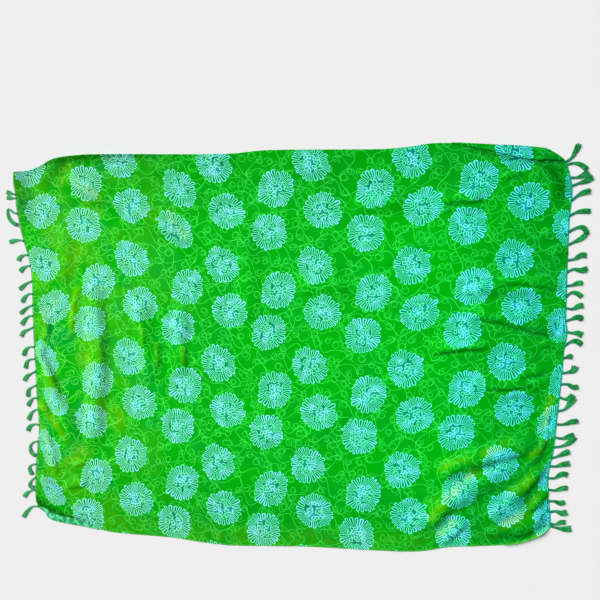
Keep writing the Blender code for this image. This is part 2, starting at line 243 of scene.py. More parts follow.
# How the tassels and their yarns differ: the least and the most of each, or its usual stray
FLARE, TIP_LIFT, YARN_LENGTH = (0.85, 1.15), (0.0, 0.0012), (0.90, 1.0)
START_STRAY, STRAY_ASIDE, STRAY_UP = 0.3, 0.0010, 0.0005
# The sides, which way out is there, and how full their tassels are
LEFT, RIGHT = -1.0, 1.0
FULLNESS = {LEFT: 0.75, RIGHT: 1.0}
SEEDS = {LEFT: 5, RIGHT: 6}
# The cord that binds each short edge
BINDING_RADIUS = {LEFT: 0.0005, RIGHT: 0.0010}
BINDING_STEPS, BINDING_SIDES = 260, 6
BINDING_SPAN = (0.002, 0.998)
BINDING_OUT, BINDING_CLEAR = 0.0004, 0.0002
BEAD_SWELL, BEAD_TURN = 0.18, 2.4

# The print's repeat, and where its four flower rounds sit in it: from the cloth's lower left corner
REPEAT_LONG, REPEAT_WIDE = 0.2784, 0.3015
FLOWERS = ((0.3201, 1.1553), (0.2161, 1.0795), (0.3485, 1.0147), (0.1918, 0.9514))
FLOWER_RADIUS = 0.057
FLOWER_OVAL = 0.04
FAR = 9.0
PETALS = 24
PETAL_WIDTH = 0.27
PETAL_SWAY = 0.3
PETAL_ROOT = 0.52 * FLOWER_RADIUS
TIP_CHANCE, ROOT_CHANCE = 0.16, 0.20
CURL_CELL, CURL_RANDOMNESS, CURL_RADIUS, CURL_DOT = 0.0128, 0.6, 0.0056, 0.0011
CURL_SPREAD, CURL_LEAST = 0.55 * CURL_RADIUS, 0.60 * CURL_RADIUS
PRINT_LINE = 0.0012
HEART_EDGE = (0.0012, 0.0030)
# How the print and the stems wander. Columns: scale of the noise, how far it moves them
PRINT_WANDER, STEM_WANDER = (45.0, 0.0060), (5.0, 0.100)

# How far the cloth has slipped from an even lay, in millimetres, on an even grid over the cut.
# Rows run from the lower edge to the upper one, columns from left to right
SLIP_LONG = (
    (0, -5, -5, -5, -1, 6, 12),
    (4, -5, -7, -10, -7, -1, 4),
    (3, -4, -8, -13, -13, -8, 2),
    (7, 11, 9, 5, 3, 10, 15),
    (10, 11, 12, 12, 13, 17, 23),
)
SLIP_WIDE = (
    (-18, -1, 5, 2, -3, -3, -4),
    (-12, 5, 6, 2, -7, -2, 6),
    (-4, 11, 8, -2, -8, -2, 11),
    (13, 11, 3, -10, -13, -7, 13),
    (31, 11, -3, -14, -12, -3, 16),
)

# Two families of wandering stems, and the scrolls scattered between them.
# Columns: turn in degrees, length of a wave, space between stems, wave's height
STEMS = (
    (20.0, 0.085, 0.038, 0.0140),
    (98.0, 0.115, 0.085, 0.0200),
)
STEM_ROW_SHIFT = 0.381
SCROLL_CELL, SCROLL_RANDOMNESS, SCROLL_RADIUS = 0.033, 0.85, 0.0085
SCROLL_SPREAD, SCROLL_LEAST = 0.35 * SCROLL_RADIUS, 0.75 * SCROLL_RADIUS
TAIL_RISE, TAIL_END = 2.2, 0.50
VINE_LINE = 0.00078

# How strong each layer of the print is, and the weave's threads to a metre and depth
VINE_STRENGTH, HEART_STRENGTH, HEM_STRENGTH = 0.8, 0.95, 0.4
WASHED_HAZE, MIDDLE_HAZE, CORE_HAZE = 0.26, 0.04, 0.16
# How strongly the painted highlight shows on the flowers' hearts and on their lines
TEAL_HIGHLIGHT_SHARE, MINT_HIGHLIGHT_SHARE = 0.60, 0.65
THREADS = 1800.0
WEAVE_STRENGTH, WEAVE_DEPTH = 0.35, 0.0002

# Colours, linear red, green, blue. The sunny ones are painted light over the left end of the print
GROUND = (0.0, 0.393, 0.0031)
GROUND_DEEP = (0.0, 0.353, 0.0054)
GROUND_SUNNY = (0.034, 0.446, 0.0018)
GROUND_COOL = (0.0, 0.339, 0.0402)
# Painted highlight: the ground on the folds' lit sides
GROUND_HIGHLIGHT = (0.112, 0.455, 0.0)
VINE = (0.043, 0.848, 0.0893)
VINE_SUNNY = (0.116, 0.848, 0.0759)
# Painted highlight: the vines on the folds' lit sides
VINE_HIGHLIGHT = (0.196, 0.759, 0.0536)
TEAL = (0.0, 0.205, 0.095)
TEAL_SUNNY = (0.012, 0.265, 0.1)
TEAL_COOL = (0.0, 0.215, 0.145)
# Painted highlight: the flowers' hearts on the folds' lit sides
TEAL_HIGHLIGHT = (0.08, 0.38, 0.045)
MINT = (0.135, 1.0, 0.46)
MINT_SUNNY = (0.29, 1.0, 0.52)
MINT_WASHED = (0.32, 1.0, 0.96)
MINT_CORE = (0.38, 1.0, 0.96)
# Painted highlight: the flowers' lines on the folds' lit sides
MINT_HIGHLIGHT = (0.5, 1.0, 0.35)
AQUA = (0.06, 0.8, 0.76)
WHITE = (1.0, 1.0, 1.0)
# Painted shade: less red and darker towards the right end
LESS_RED = (0.36, 1.0, 1.0)
DEEPER_END = (1.0, 0.76, 1.0)
# Darker towards both long edges
DEEPER_SIDE = (0.85, 0.8, 0.9)
# Painted shade in the sharpest folds and at the corners
SHADE_TINT = (0.3, 0.32, 0.32)
HEM = (0.196, 0.714, 0.1429)
REVERSE = (0.013, 0.25, 0.1161)
YARN_DARK = (0.001, 0.125, 0.024)
YARN_LIGHT = (0.025, 0.5, 0.125)
# Painted light: the tassels towards the left end are painted paler
YARN_LIT = (0.098, 0.536, 0.1875)
YARN_ROOT = (0.004, 0.17, 0.1339)
CORD = (0.004, 0.268, 0.1429)
FLOOR = (0.714, 0.714, 0.7143)


# Where the cloth lies

def smooth_curve(points):
    """Points evenly spaced along a smooth curve through the given ones."""
    given = np.array(points)
    padded = np.vstack((2 * given[0] - given[1], given, 2 * given[-1] - given[-2]))
    steps = np.linspace(0.0, 1.0, CURVE_STEPS, endpoint=False)[:, None]
    pieces = []
    for before, start, end, after in zip(padded, padded[1:], padded[2:], padded[3:]):
        tension = max(np.linalg.norm(end - start), 1e-6)
        leave = (end - before) / max(np.linalg.norm(end - before), 1e-6) * tension
        arrive = (after - start) / max(np.linalg.norm(after - start), 1e-6) * tension
        pieces.append(
            (2 * steps**3 - 3 * steps**2 + 1) * start
            + (steps**3 - 2 * steps**2 + steps) * leave
            + (3 * steps**2 - 2 * steps**3) * end
            + (steps**3 - steps**2) * arrive
        )
    path = np.vstack(pieces + [given[-1:]])
    run = np.concatenate(([0.0], np.cumsum(np.linalg.norm(np.diff(path, axis=0), axis=1))))
    even = np.linspace(0.0, run[-1], CURVE_SAMPLES)
    return np.column_stack([np.interp(even, run, path[:, axis]) for axis in (0, 1)])


def at_share(curve, share):
    places = np.linspace(0.0, 1.0, len(curve))
    return np.column_stack([np.interp(share, places, curve[:, axis]) for axis in (0, 1)])


def heading(degrees):
    angle = math.radians(degrees)
    return np.array((math.cos(angle), math.sin(angle)))


OUTLINE = {"bottom": BOTTOM_EDGE, "top": TOP_EDGE, "left": LEFT_EDGE, "right": RIGHT_EDGE}
EDGES = {name: smooth_curve(np.array(table) * MILLIMETRE) for name, table in OUTLINE.items()}


def solid_shift():
    """How far the solids were slid to centre the whole on the origin."""
    outline = np.vstack(list(EDGES.values()))
    low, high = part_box("panel")
    middle = (outline.min(axis=0) + outline.max(axis=0)) / 2
    return np.add(low, high)[:2] / 2 - middle


SHIFT = solid_shift()


def laid_points(along, across):
    """Where each point of the cloth lies: the four edges blended across the middle."""
    bottom, top = EDGES["bottom"], EDGES["top"]
    low, high = at_share(bottom, along)[:, None], at_share(top, along)[:, None]
    near, far = at_share(EDGES["left"], across)[None], at_share(EDGES["right"], across)[None]
    u, v = along[:, None, None], across[None, :, None]
    corners = (
        (1 - u) * (1 - v) * bottom[0] + u * (1 - v) * bottom[-1] + (1 - u) * v * top[0] + u * v * top[-1]
    )
    return (1 - v) * low + v * high + (1 - u) * near + u * far - corners


def ridge(places, row, lean=0.0):
    """One round ridge with soft ends over each place, as high as the last number of its row.

    lean narrows the side that faces away from the light, so that it is steeper.
    """
    steps = np.linspace(0.0, 1.0, WRINKLE_POINTS)
    a, b, c = np.array(row[:6]).reshape(3, 2) * MILLIMETRE
    half_width, rise = row[6] * MILLIMETRE, row[7]
    bend = 2 * b - (a + c) / 2
    line = np.array([(1 - s) ** 2 * a + 2 * s * (1 - s) * bend + s**2 * c for s in steps])
    reach = half_width + MILLIMETRE
    low, high = line.min(axis=0) - reach, line.max(axis=0) + reach
    near = ((places > low) & (places < high)).all(axis=-1)
    height = np.zeros(places.shape[:-1])
    away = np.linalg.norm(places[near][:, None, :] - line, axis=-1)
    if not len(away):
        return height
    nearest = away.argmin(axis=-1)
    aside = (places[near] - line[nearest]) / np.maximum(away.min(axis=-1), 1e-6)[:, None]
    reaches = half_width * (1 - lean * np.clip(aside @ SHADED_WAY, 0.0, 1.0))
    from_end = np.minimum(steps[nearest], 1 - steps[nearest]) / WRINKLE_END
    fade = np.sin(np.clip(from_end, 0.0, 1.0) * math.pi / 2)
    across = np.clip(away.min(axis=-1) / reaches, 0.0, 1.0)
    height[near] = rise * fade * np.cos(across * math.pi / 2) ** 2
    return height


def highest(places, table):
    """The highest of a table's ridges over each place: a height, or how strongly it is marked."""
    return np.max([ridge(places, row) for row in table], axis=0)


def lift(places):
    height = highest(places, WRINKLES) * MILLIMETRE
    for row in CREASES:
        height += ridge(places, row, CREASE_LEAN) * MILLIMETRE
    for length, degrees, start, rise in RIPPLES:
        way = heading(degrees)
        bend = np.sin(places @ way[::-1] * RIPPLE_BENDS + start) * RIPPLE_BEND
        waves = places @ way / (length * MILLIMETRE) + bend
        height += rise * MILLIMETRE * np.sin(waves * math.tau + start)
    height = np.maximum(height, 0.0)
    return height / (1 + (height / TALLEST) ** 4) ** 0.25


def lit_slopes(height, places):
    """How steeply the cloth rises away from the light: its lit slopes, where a highlight is painted
    along the folds.
    """
    rise = np.zeros(height.shape)
    for axis in (0, 1):
        step = np.linalg.norm(np.gradient(places, axis=axis), axis=-1)
        rise += np.gradient(height, axis=axis) / step * SHADED_WAY[axis]
    lower = (HIGHLIGHT_BELOW - places[..., 1]) / HIGHLIGHT_SOFT
    left = (HIGHLIGHT_LEFT_OF - places[..., 0]) / HIGHLIGHT_SOFT
    share = np.clip(np.maximum(lower, left), LEAST_SHARE, 1.0)
    return np.clip(rise * SLOPE_HIGHLIGHT, 0.0, MOST_HIGHLIGHT) * share


def taken_up(places):
    """How far the print has slid, at each place, into the folds that take up cloth."""
    slid = np.zeros(places.shape)
    for x, y, degrees, half_width, half_length, amount in TUCKS:
        way, across = heading(degrees), heading(degrees + 90)
        apart = places / MILLIMETRE - (x, y)
        along = np.clip(apart @ way / half_length, -1.0, 1.0)
        aside = np.clip(apart @ across / half_width, -1.0, 1.0)
        pull = amount * MILLIMETRE * np.sin(math.pi * aside) * np.cos(along * math.pi / 2) ** 2
        slid += pull[..., None] * across
    return slid


# Cloth mesh. Each point carries these three marks for the print
MARKS = ("painted_highlight", "painted_shade", "hem")
HEM_WIDTH = 0.0045
BORDER_STATIONS, INNER_FROM = (0.0, 0.0022, 0.0050), 0.0100


def slip(share_long, share_wide, table):
    """The slip at each share of the cut, blended between the grid's values."""
    grid = np.array(table) * MILLIMETRE
    rows, columns = grid.shape
    x = np.clip(share_long, 0, 1) * (columns - 1)
    y = np.clip(share_wide, 0, 1) * (rows - 1)
    i, j = np.minimum(x.astype(int), columns - 2), np.minimum(y.astype(int), rows - 2)
    s, t = x - i, y - j
    low = grid[j, i] * (1 - s) + grid[j, i + 1] * s
    high = grid[j + 1, i] * (1 - s) + grid[j + 1, i + 1] * s
    return low * (1 - t) + high * t


def stations(count, length):
    """Shares along one side of the cloth, closer together at its two edges."""
    border = np.array(BORDER_STATIONS) / length
    inner = np.linspace(INNER_FROM / length, 1 - INNER_FROM / length, count)
    return np.concatenate((border, inner, 1 - border[::-1]))


class ClothSheet:
    """One layer of points and faces, with each point's place on the uncut cloth and its marks.

    The marks are how strongly each point is painted with highlight, how strongly with shade, and how
    near the hem it is.
    """

    def __init__(self):
        self.points, self.cut, self.marks = [], [], []
        self.faces = {"top": [], "under": []}
        self.slots = {"top": [], "under": []}

    def add_points(self, points, cut, marks):
        first = sum(len(block) for block in self.points)
        self.points.append(points)
        self.cut.append(cut)
        self.marks.append(marks)
        return first

    def add_face(self, layer, corners, slot):
        self.faces[layer].append(tuple(int(k) for k in corners))
        self.slots[layer].append(slot)

    def thicken(self, piece_name, materials, sink):
        """The closed thin wall: the face on top, and the underside sunk clear of it."""
        points, cut, marks = np.vstack(self.points), np.vstack(self.cut), np.vstack(self.marks)
        top, under = self.faces["top"], self.faces["under"]
        low = np.unique(np.concatenate(under))
        low_index = {int(k): len(points) + place for place, k in enumerate(low)}
        lower = points[low]
        sunk = low < len(sink)
        lower[sunk, 2] -= sink[low[sunk]]
        both = np.vstack((points + layer_normals(points, top) * THICKNESS, lower))
        under = [tuple(low_index[k] for k in corners[::-1]) for corners in under]
        rim = [(low_index[a], low_index[b], b, a) for a, b in self.free_sides()]
        mesh = bpy.data.meshes.new(piece_name)
        mesh.from_pydata(both.tolist(), [], top + under + rim)
        slots = self.slots["top"] + self.slots["under"] + [1] * len(rim)
        mesh.polygons.foreach_set("material_index", slots)
        corners = np.empty(len(mesh.loops), dtype=np.int32)
        mesh.loops.foreach_get("vertex_index", corners)
        layer_uv = mesh.uv_layers.new(name="print")
        layer_uv.data.foreach_set("uv", np.vstack((cut, cut[low]))[corners].ravel())
        for column, name in enumerate(MARKS):
            values = np.concatenate((marks[:, column], marks[low, column]))
            mesh.attributes.new(name, "FLOAT", "POINT").data.foreach_set("value", values)
        for material in materials:
            mesh.materials.append(material)
        piece = add_piece(piece_name, mesh)
        mesh.polygons.foreach_set("use_smooth", [True] * (len(slots) - len(rim)) + [False] * len(rim))
        mesh.update()
        return piece

    def free_sides(self):
        top = self.faces["top"]
        sides = {pair for corners in top for pair in zip(corners, corners[1:] + corners[:1])}
        return sorted(pair for pair in sides if pair[::-1] not in sides)


def layer_normals(points, quads):
    layer = bpy.data.meshes.new("layer")
    layer.from_pydata(points.tolist(), [], quads)
    layer.update()
    normals = np.empty(len(points) * 3)
    layer.vertex_normals.foreach_get("vector", normals)
    bpy.data.meshes.remove(layer)
    return normals.reshape(-1, 3)


def link(name, data):
    item = bpy.data.objects.new(name, data)
    bpy.context.scene.collection.objects.link(item)
    return item


def add_piece(name, mesh):
    mesh.shade_smooth()
    mesh.update()
    return link(name, mesh)


def lowest_near(height, reach):
    """The lowest of the heights within so many cells of each point."""
    for axis in (0, 1):
        size = height.shape[axis]
        cells = [np.clip(np.arange(size) + s, 0, size - 1) for s in range(-reach, reach + 1)]
        height = np.min([np.take(height, chosen, axis) for chosen in cells], axis=0)
    return height


def cell_corners(index, i, j, step):
    """The outline of one cell, with every point of the cloth's own edge kept."""
    rows, columns = index.shape
    i_end, j_end = min(i + step, rows - 1), min(j + step, columns - 1)
    bottom = range(i, i_end) if j == 0 else (i,)
    right = range(j, j_end) if i_end == rows - 1 else (j,)
    top = range(i_end, i, -1) if j_end == columns - 1 else (i_end,)
    left = range(j_end, j, -1) if i == 0 else (j_end,)
    outline = [index[k, j] for k in bottom] + [index[i_end, k] for k in right]
    return outline + [index[k, j_end] for k in top] + [index[i, k] for k in left]


def make_cloth(materials):
    along, across = stations(CELLS_LONG, CUT_LONG), stations(CELLS_WIDE, CUT_WIDE)
    places = laid_points(along, across)
    shares = np.stack(np.meshgrid(along, across, indexing="ij"), axis=-1)
    slipped = [slip(shares[..., 0], shares[..., 1], table) for table in (SLIP_LONG, SLIP_WIDE)]
    cut = shares * (CUT_LONG, CUT_WIDE) - np.stack(slipped, axis=-1) + taken_up(places)
    height = lift(places)
    points = np.dstack((places + SHIFT, height))
    sheet = ClothSheet()
    # The marks: painted highlight on the folds' lit sides, painted shade in the sharpest folds and at
    # the corners, and the hem
    highlight = np.maximum(highest(places, HIGHLIGHT_STRIPS), lit_slopes(height, places))
    from_hem = (shares * (CUT_LONG, CUT_WIDE)).min(axis=-1)
    hem = np.clip((HEM_WIDTH - from_hem) / HEM_WIDTH, 0.0, 1.0)
    marks = np.dstack((highlight, highest(places, SHADE_STRIPS), hem))
    sheet.add_points(points.reshape(-1, 3), cut.reshape(-1, 2), marks.reshape(-1, len(MARKS)))
    index = np.arange(height.size).reshape(height.shape)
    for layer, step, slot in (("top", 1, 0), ("under", UNDER_STEP, 1)):
        for i in range(0, index.shape[0] - 1, step):
            for j in range(0, index.shape[1] - 1, step):
                sheet.add_face(layer, cell_corners(index, i, j, step), slot)
    turn_edge(sheet, points[:, 0], cut[:, 0], index[:, 0], TURNED_BOTTOM, -1.0, False)
    turn_edge(sheet, points[:, -1], cut[:, -1], index[:, -1], TURNED_TOP, 1.0, True)
    sink = (height - lowest_near(height, UNDER_STEP)).ravel()
    return sheet.thicken("sarong_cloth", materials, sink)


def turn_edge(sheet, edge, cut, index, table, outward, face_up):
    """Carries the cloth on past its long edge, round a soft fold and back over its own face.

    Where face_up is set, the strip is a tuck whose print runs on unturned, as the photo shows it.
    """
    spots = edge[:, 0] - SHIFT[0]
    table_x, table_widths, table_heights = (np.array(table) * MILLIMETRE).T
    chosen = np.nonzero((spots >= table_x[0]) & (spots <= table_x[-1]))[0]
    widths = np.interp(spots[chosen], table_x, table_widths)
    free_heights = np.interp(spots[chosen], table_x, table_heights)
    way = np.gradient(edge[:, :2], axis=0)
    way /= np.linalg.norm(way, axis=1)[:, None]
    out = np.column_stack((way[:, 1], -way[:, 0])) * -outward
    arc = math.pi * FOLD_RADIUS
    rows = [index[chosen]]
    for step in range(1, TURNED_ROWS + 1):
        run = (widths + arc) * step / TURNED_ROWS
        turn = np.clip(run / FOLD_RADIUS, 0.0, math.pi)
        past = np.clip(run - arc, 0.0, None)
        sink = np.clip(past / np.maximum(widths, LEAST_TURNED), 0.0, 1.0)
        ease = sink * sink * (3 - 2 * sink)
        rise = FOLD_RADIUS * (1 - np.cos(turn)) + ease * (free_heights - 2 * FOLD_RADIUS)
        reach = FOLD_RADIUS * np.sin(turn) - past
        points = edge[chosen].copy()
        points[:, :2] += out[chosen] * reach[:, None]
        below = lift(points[:, :2] - SHIFT)
        settled = points[:, 2] * (1 - ease) + below * ease
        points[:, 2] = np.maximum(settled, below * (past > 0)) + rise
        beyond = cut[chosen].copy()
        beyond[:, 1] += outward * (reach if face_up else run)
        first = sheet.add_points(points, beyond, np.zeros((len(chosen), len(MARKS))))
        rows.append(np.arange(first, first + len(chosen)))
    for near, far in zip(rows, rows[1:]):
        for k in range(len(chosen) - 1):
            quad = (near[k], far[k], far[k + 1], near[k + 1])
            quad = quad if outward < 0 else quad[::-1]
            sheet.add_face("top", quad, 0)
            sheet.add_face("under", quad, 0 if face_up else 1)


# Shader arithmetic

class Shade:
    """Short words for the arithmetic of one material's nodes."""

    def __init__(self, name):
        self.material = bpy.data.materials.new(name)
        self.material.use_nodes = True
        self.tree = self.material.node_tree

    def feed(self, socket, value):
        if isinstance(value, bpy.types.NodeSocket):
            self.tree.links.new(value, socket)
        else:
            socket.default_value = value

    def node(self, kind, inputs, **settings):
        """A new node with its settings, and what goes into its sockets by name or number."""
        node = self.tree.nodes.new("ShaderNode" + kind)
        for key, value in settings.items():
            setattr(node, key, value)
        for key, value in inputs.items():
            self.feed(node.inputs[key], value)
        return node

    def surface(self, looks):
        """The finished material, with its looks set on the Principled shader."""
        for name, value in looks.items():
            self.feed(self.tree.nodes["Principled BSDF"].inputs[name], value)
        return self.material

    def number(self, operation, *values, clamp=False):
        inputs = dict(enumerate(values))
        return self.node("Math", inputs, operation=operation, use_clamp=clamp).outputs[0]

    times = partialmethod(number, "MULTIPLY")
    times_plus = partialmethod(number, "MULTIPLY_ADD")
    plus = partialmethod(number, "ADD")
    minus = partialmethod(number, "SUBTRACT")
    over = partialmethod(number, "DIVIDE")
    higher = partialmethod(number, "MAXIMUM")
    lower = partialmethod(number, "MINIMUM")
    size = partialmethod(number, "ABSOLUTE")

    def vector(self, operation, *values):
        inputs = dict(enumerate(values))
        node = self.node("VectorMath", inputs, operation=operation)
        return node.outputs["Value" if operation == "LENGTH" else "Vector"]

    def fade(self, value, full, none):
        """1 where the value is at full, 0 where it is at none, smooth between."""
        inputs = {"Value": value, "From Min": full, "From Max": none, "To Min": 1.0, "To Max": 0.0}
        return self.node("MapRange", inputs, interpolation_type="SMOOTHSTEP").outputs[0]

    def mix(self, share, first, second, kind="RGBA"):
        a, b, out = {"RGBA": (6, 7, 2), "VECTOR": (4, 5, 1), "FLOAT": (2, 3, 0)}[kind]
        if kind == "RGBA":
            first, second = ((*v, 1.0) if isinstance(v, tuple) else v for v in (first, second))
        return self.node("Mix", {0: share, a: first, b: second}, data_type=kind).outputs[out]

    def noise(self, place, scale, detail=2.0, output="Fac"):
        inputs = {"Vector": place, "Scale": scale, "Detail": detail}
        return self.node("TexNoise", inputs).outputs[output]

    def parts(self, vector):
        return self.node("SeparateXYZ", {0: vector}).outputs

    def joined(self, x, y):
        return self.node("CombineXYZ", {0: x, 1: y}).outputs[0]

    def mark(self, name):
        return self.node("Attribute", {}, attribute_name=name).outputs["Fac"]

    def bump(self, height, strength, distance):
        inputs = {"Height": height, "Strength": strength, "Distance": distance}
        return self.node("Bump", inputs).outputs[0]

    def strayed(self, place, scale, reach):
        """The place moved about by a soft noise."""
        stray = self.vector("SUBTRACT", self.noise(place, scale, 1.0, "Color"), (0.5, 0.5, 0.5))
        return self.vector("ADD", place, self.vector("MULTIPLY", stray, (reach, reach, reach)))

    def cells(self, place, width, randomness):
        """Packed cells: x, y and distance from the middle of the cell, and its three chances."""
        inputs = {"Vector": place, "Scale": 1 / width, "Randomness": randomness}
        packed = self.node("TexVoronoi", inputs, voronoi_dimensions="2D").outputs
        x, y, _ = self.parts(self.vector("SUBTRACT", place, packed["Position"]))
        return x, y, self.times(packed["Distance"], width), self.parts(packed["Color"])

    def whirl(self, x, y, turn):
        """How far round a middle the place is, as a share of a whole turn."""
        around = self.over(self.number("ARCTAN2", y, x), math.tau)
        return self.number("FRACT", self.plus(around, turn))


# The print

def stems(shade, place, turn, wave, space, height):
    """Distance, in metres, from the nearest stem of one family."""
    inputs = {"Vector": place, "Angle": math.radians(turn)}
    turned = shade.node("VectorRotate", inputs, rotation_type="Z_AXIS").outputs[0]
    x, y, _ = shade.parts(shade.strayed(turned, *STEM_WANDER))
    row = shade.number("FLOOR", shade.over(y, space))
    above = shade.times_plus(shade.plus(row, 0.5), -space, y)
    angle = shade.times(shade.plus(shade.over(x, wave), shade.times(row, STEM_ROW_SHIFT)), math.tau)
    rise = shade.times_plus(shade.number("SINE", angle), -height, above)
    slope = shade.times(shade.number("COSINE", angle), height * math.tau / wave)
    steep = shade.number("SQRT", shade.times_plus(slope, slope, 1.0))
    return shade.over(shade.size(rise), steep)


def scrolls(shade, place):
    """Distance from the nearest scroll: a ring with a tail that winds outwards from it."""
    x, y, away, (turn, size, side) = shade.cells(place, SCROLL_CELL, SCROLL_RANDOMNESS)
    mirrored = shade.times(x, shade.number("SIGN", shade.minus(side, 0.5)))
    share = shade.whirl(mirrored, y, turn)
    radius = shade.times_plus(size, SCROLL_SPREAD, SCROLL_LEAST)
    reach = shade.minus(away, radius)
    wound = shade.times(shade.times(share, radius), TAIL_RISE)
    tail = shade.size(shade.minus(reach, wound))
    tail = shade.plus(tail, shade.higher(shade.minus(share, TAIL_END), 0.0))
    return shade.lower(shade.size(reach), tail)


def nearest_flower(shade, place):
    """The place seen from the nearest flower's middle, its distance, and a number for that flower."""
    half = (REPEAT_LONG / 2, REPEAT_WIDE / 2, 1.0)
    back = tuple(-side for side in half)
    best = ((FAR, FAR, 0.0), FAR, 0.0)
    for number, (x, y) in enumerate(FLOWERS):
        spot = shade.vector("WRAP", shade.vector("SUBTRACT", place, (x, y, 0.0)), half, back)
        reach = shade.vector("LENGTH", spot)
        closer = shade.number("LESS_THAN", reach, best[1])
        best = (
            shade.mix(closer, best[0], spot, "VECTOR"),
            shade.lower(reach, best[1]),
            shade.mix(closer, best[2], float(number), "FLOAT"),
        )
    return best


def petal_ring(shade, reach, angle, kind):
    """Signed distance from the ring of long rounded petals, below nought inside them."""
    sway = shade.number("SINE", shade.times_plus(angle, 3.0, kind))
    turn = shade.times_plus(angle, PETALS / math.tau, shade.times(sway, PETAL_SWAY))
    whole = shade.number("ROUND", turn)
    petal = shade.joined(shade.number("FLOORED_MODULO", whole, float(PETALS)), kind)
    dice = shade.node("TexWhiteNoise", {"Vector": petal}, noise_dimensions="2D")
    chance = dice.outputs["Value"]
    pitch = shade.times(reach, math.tau / PETALS)
    half_width = shade.times(pitch, PETAL_WIDTH)
    tip = shade.times_plus(chance, -TIP_CHANCE * FLOWER_RADIUS, FLOWER_RADIUS)
    root = shade.times_plus(chance, ROOT_CHANCE * PETAL_ROOT, PETAL_ROOT)
    past_tip = shade.plus(shade.minus(reach, tip), half_width)
    lengthways = shade.higher(shade.higher(past_tip, shade.minus(root, reach)), 0.0)
    sideways = shade.times(shade.minus(turn, whole), pitch)
    return shade.minus(shade.vector("LENGTH", shade.joined(lengthways, sideways)), half_width)


def line_along(shade, distance, half_width):
    return shade.fade(shade.size(distance), half_width * 0.75, half_width * 1.2)


def curls(shade, place):
    """Small spirals with a dot in each, packed side by side."""
    x, y, away, (turn, _, _) = shade.cells(place, CURL_CELL, CURL_RANDOMNESS)
    wound = shade.times_plus(shade.whirl(x, y, turn), CURL_SPREAD, CURL_LEAST)
    spiral = line_along(shade, shade.minus(away, wound), PRINT_LINE)
    return shade.higher(spiral, shade.fade(away, CURL_DOT * 0.6, CURL_DOT * 1.3))


def printed_ground(shade, uv, flat, left, highlit):
    """The green ground, cloudy and cool in places, with painted light and highlights and the vines drawn
    on it.
    """
    cloudy = shade.noise(uv, 6.0, 3.0)
    ground = shade.mix(shade.fade(cloudy, 0.60, 0.40), GROUND, GROUND_DEEP)
    # Painted light: sunnier patches towards the left end
    ground = shade.mix(shade.times(left, shade.fade(cloudy, 0.58, 0.44)), ground, GROUND_SUNNY)
    cool = shade.fade(shade.noise(uv, 9.0, 1.0), 0.66, 0.50)
    ground = shade.mix(shade.times(cool, shade.times_plus(left, 0.7, 0.15)), ground, GROUND_COOL)
    # Painted highlight on the folds' lit sides
    ground = shade.mix(highlit, ground, GROUND_HIGHLIGHT)
    vine = scrolls(shade, flat)
    for family in STEMS:
        vine = shade.lower(vine, stems(shade, flat, *family))
    drawn = shade.times(line_along(shade, vine, VINE_LINE), VINE_STRENGTH)
    # The vines are painted sunnier towards the left end, with painted highlight on the folds' lit sides
    return shade.mix(drawn, ground, shade.mix(highlit, shade.mix(left, VINE, VINE_SUNNY), VINE_HIGHLIGHT))


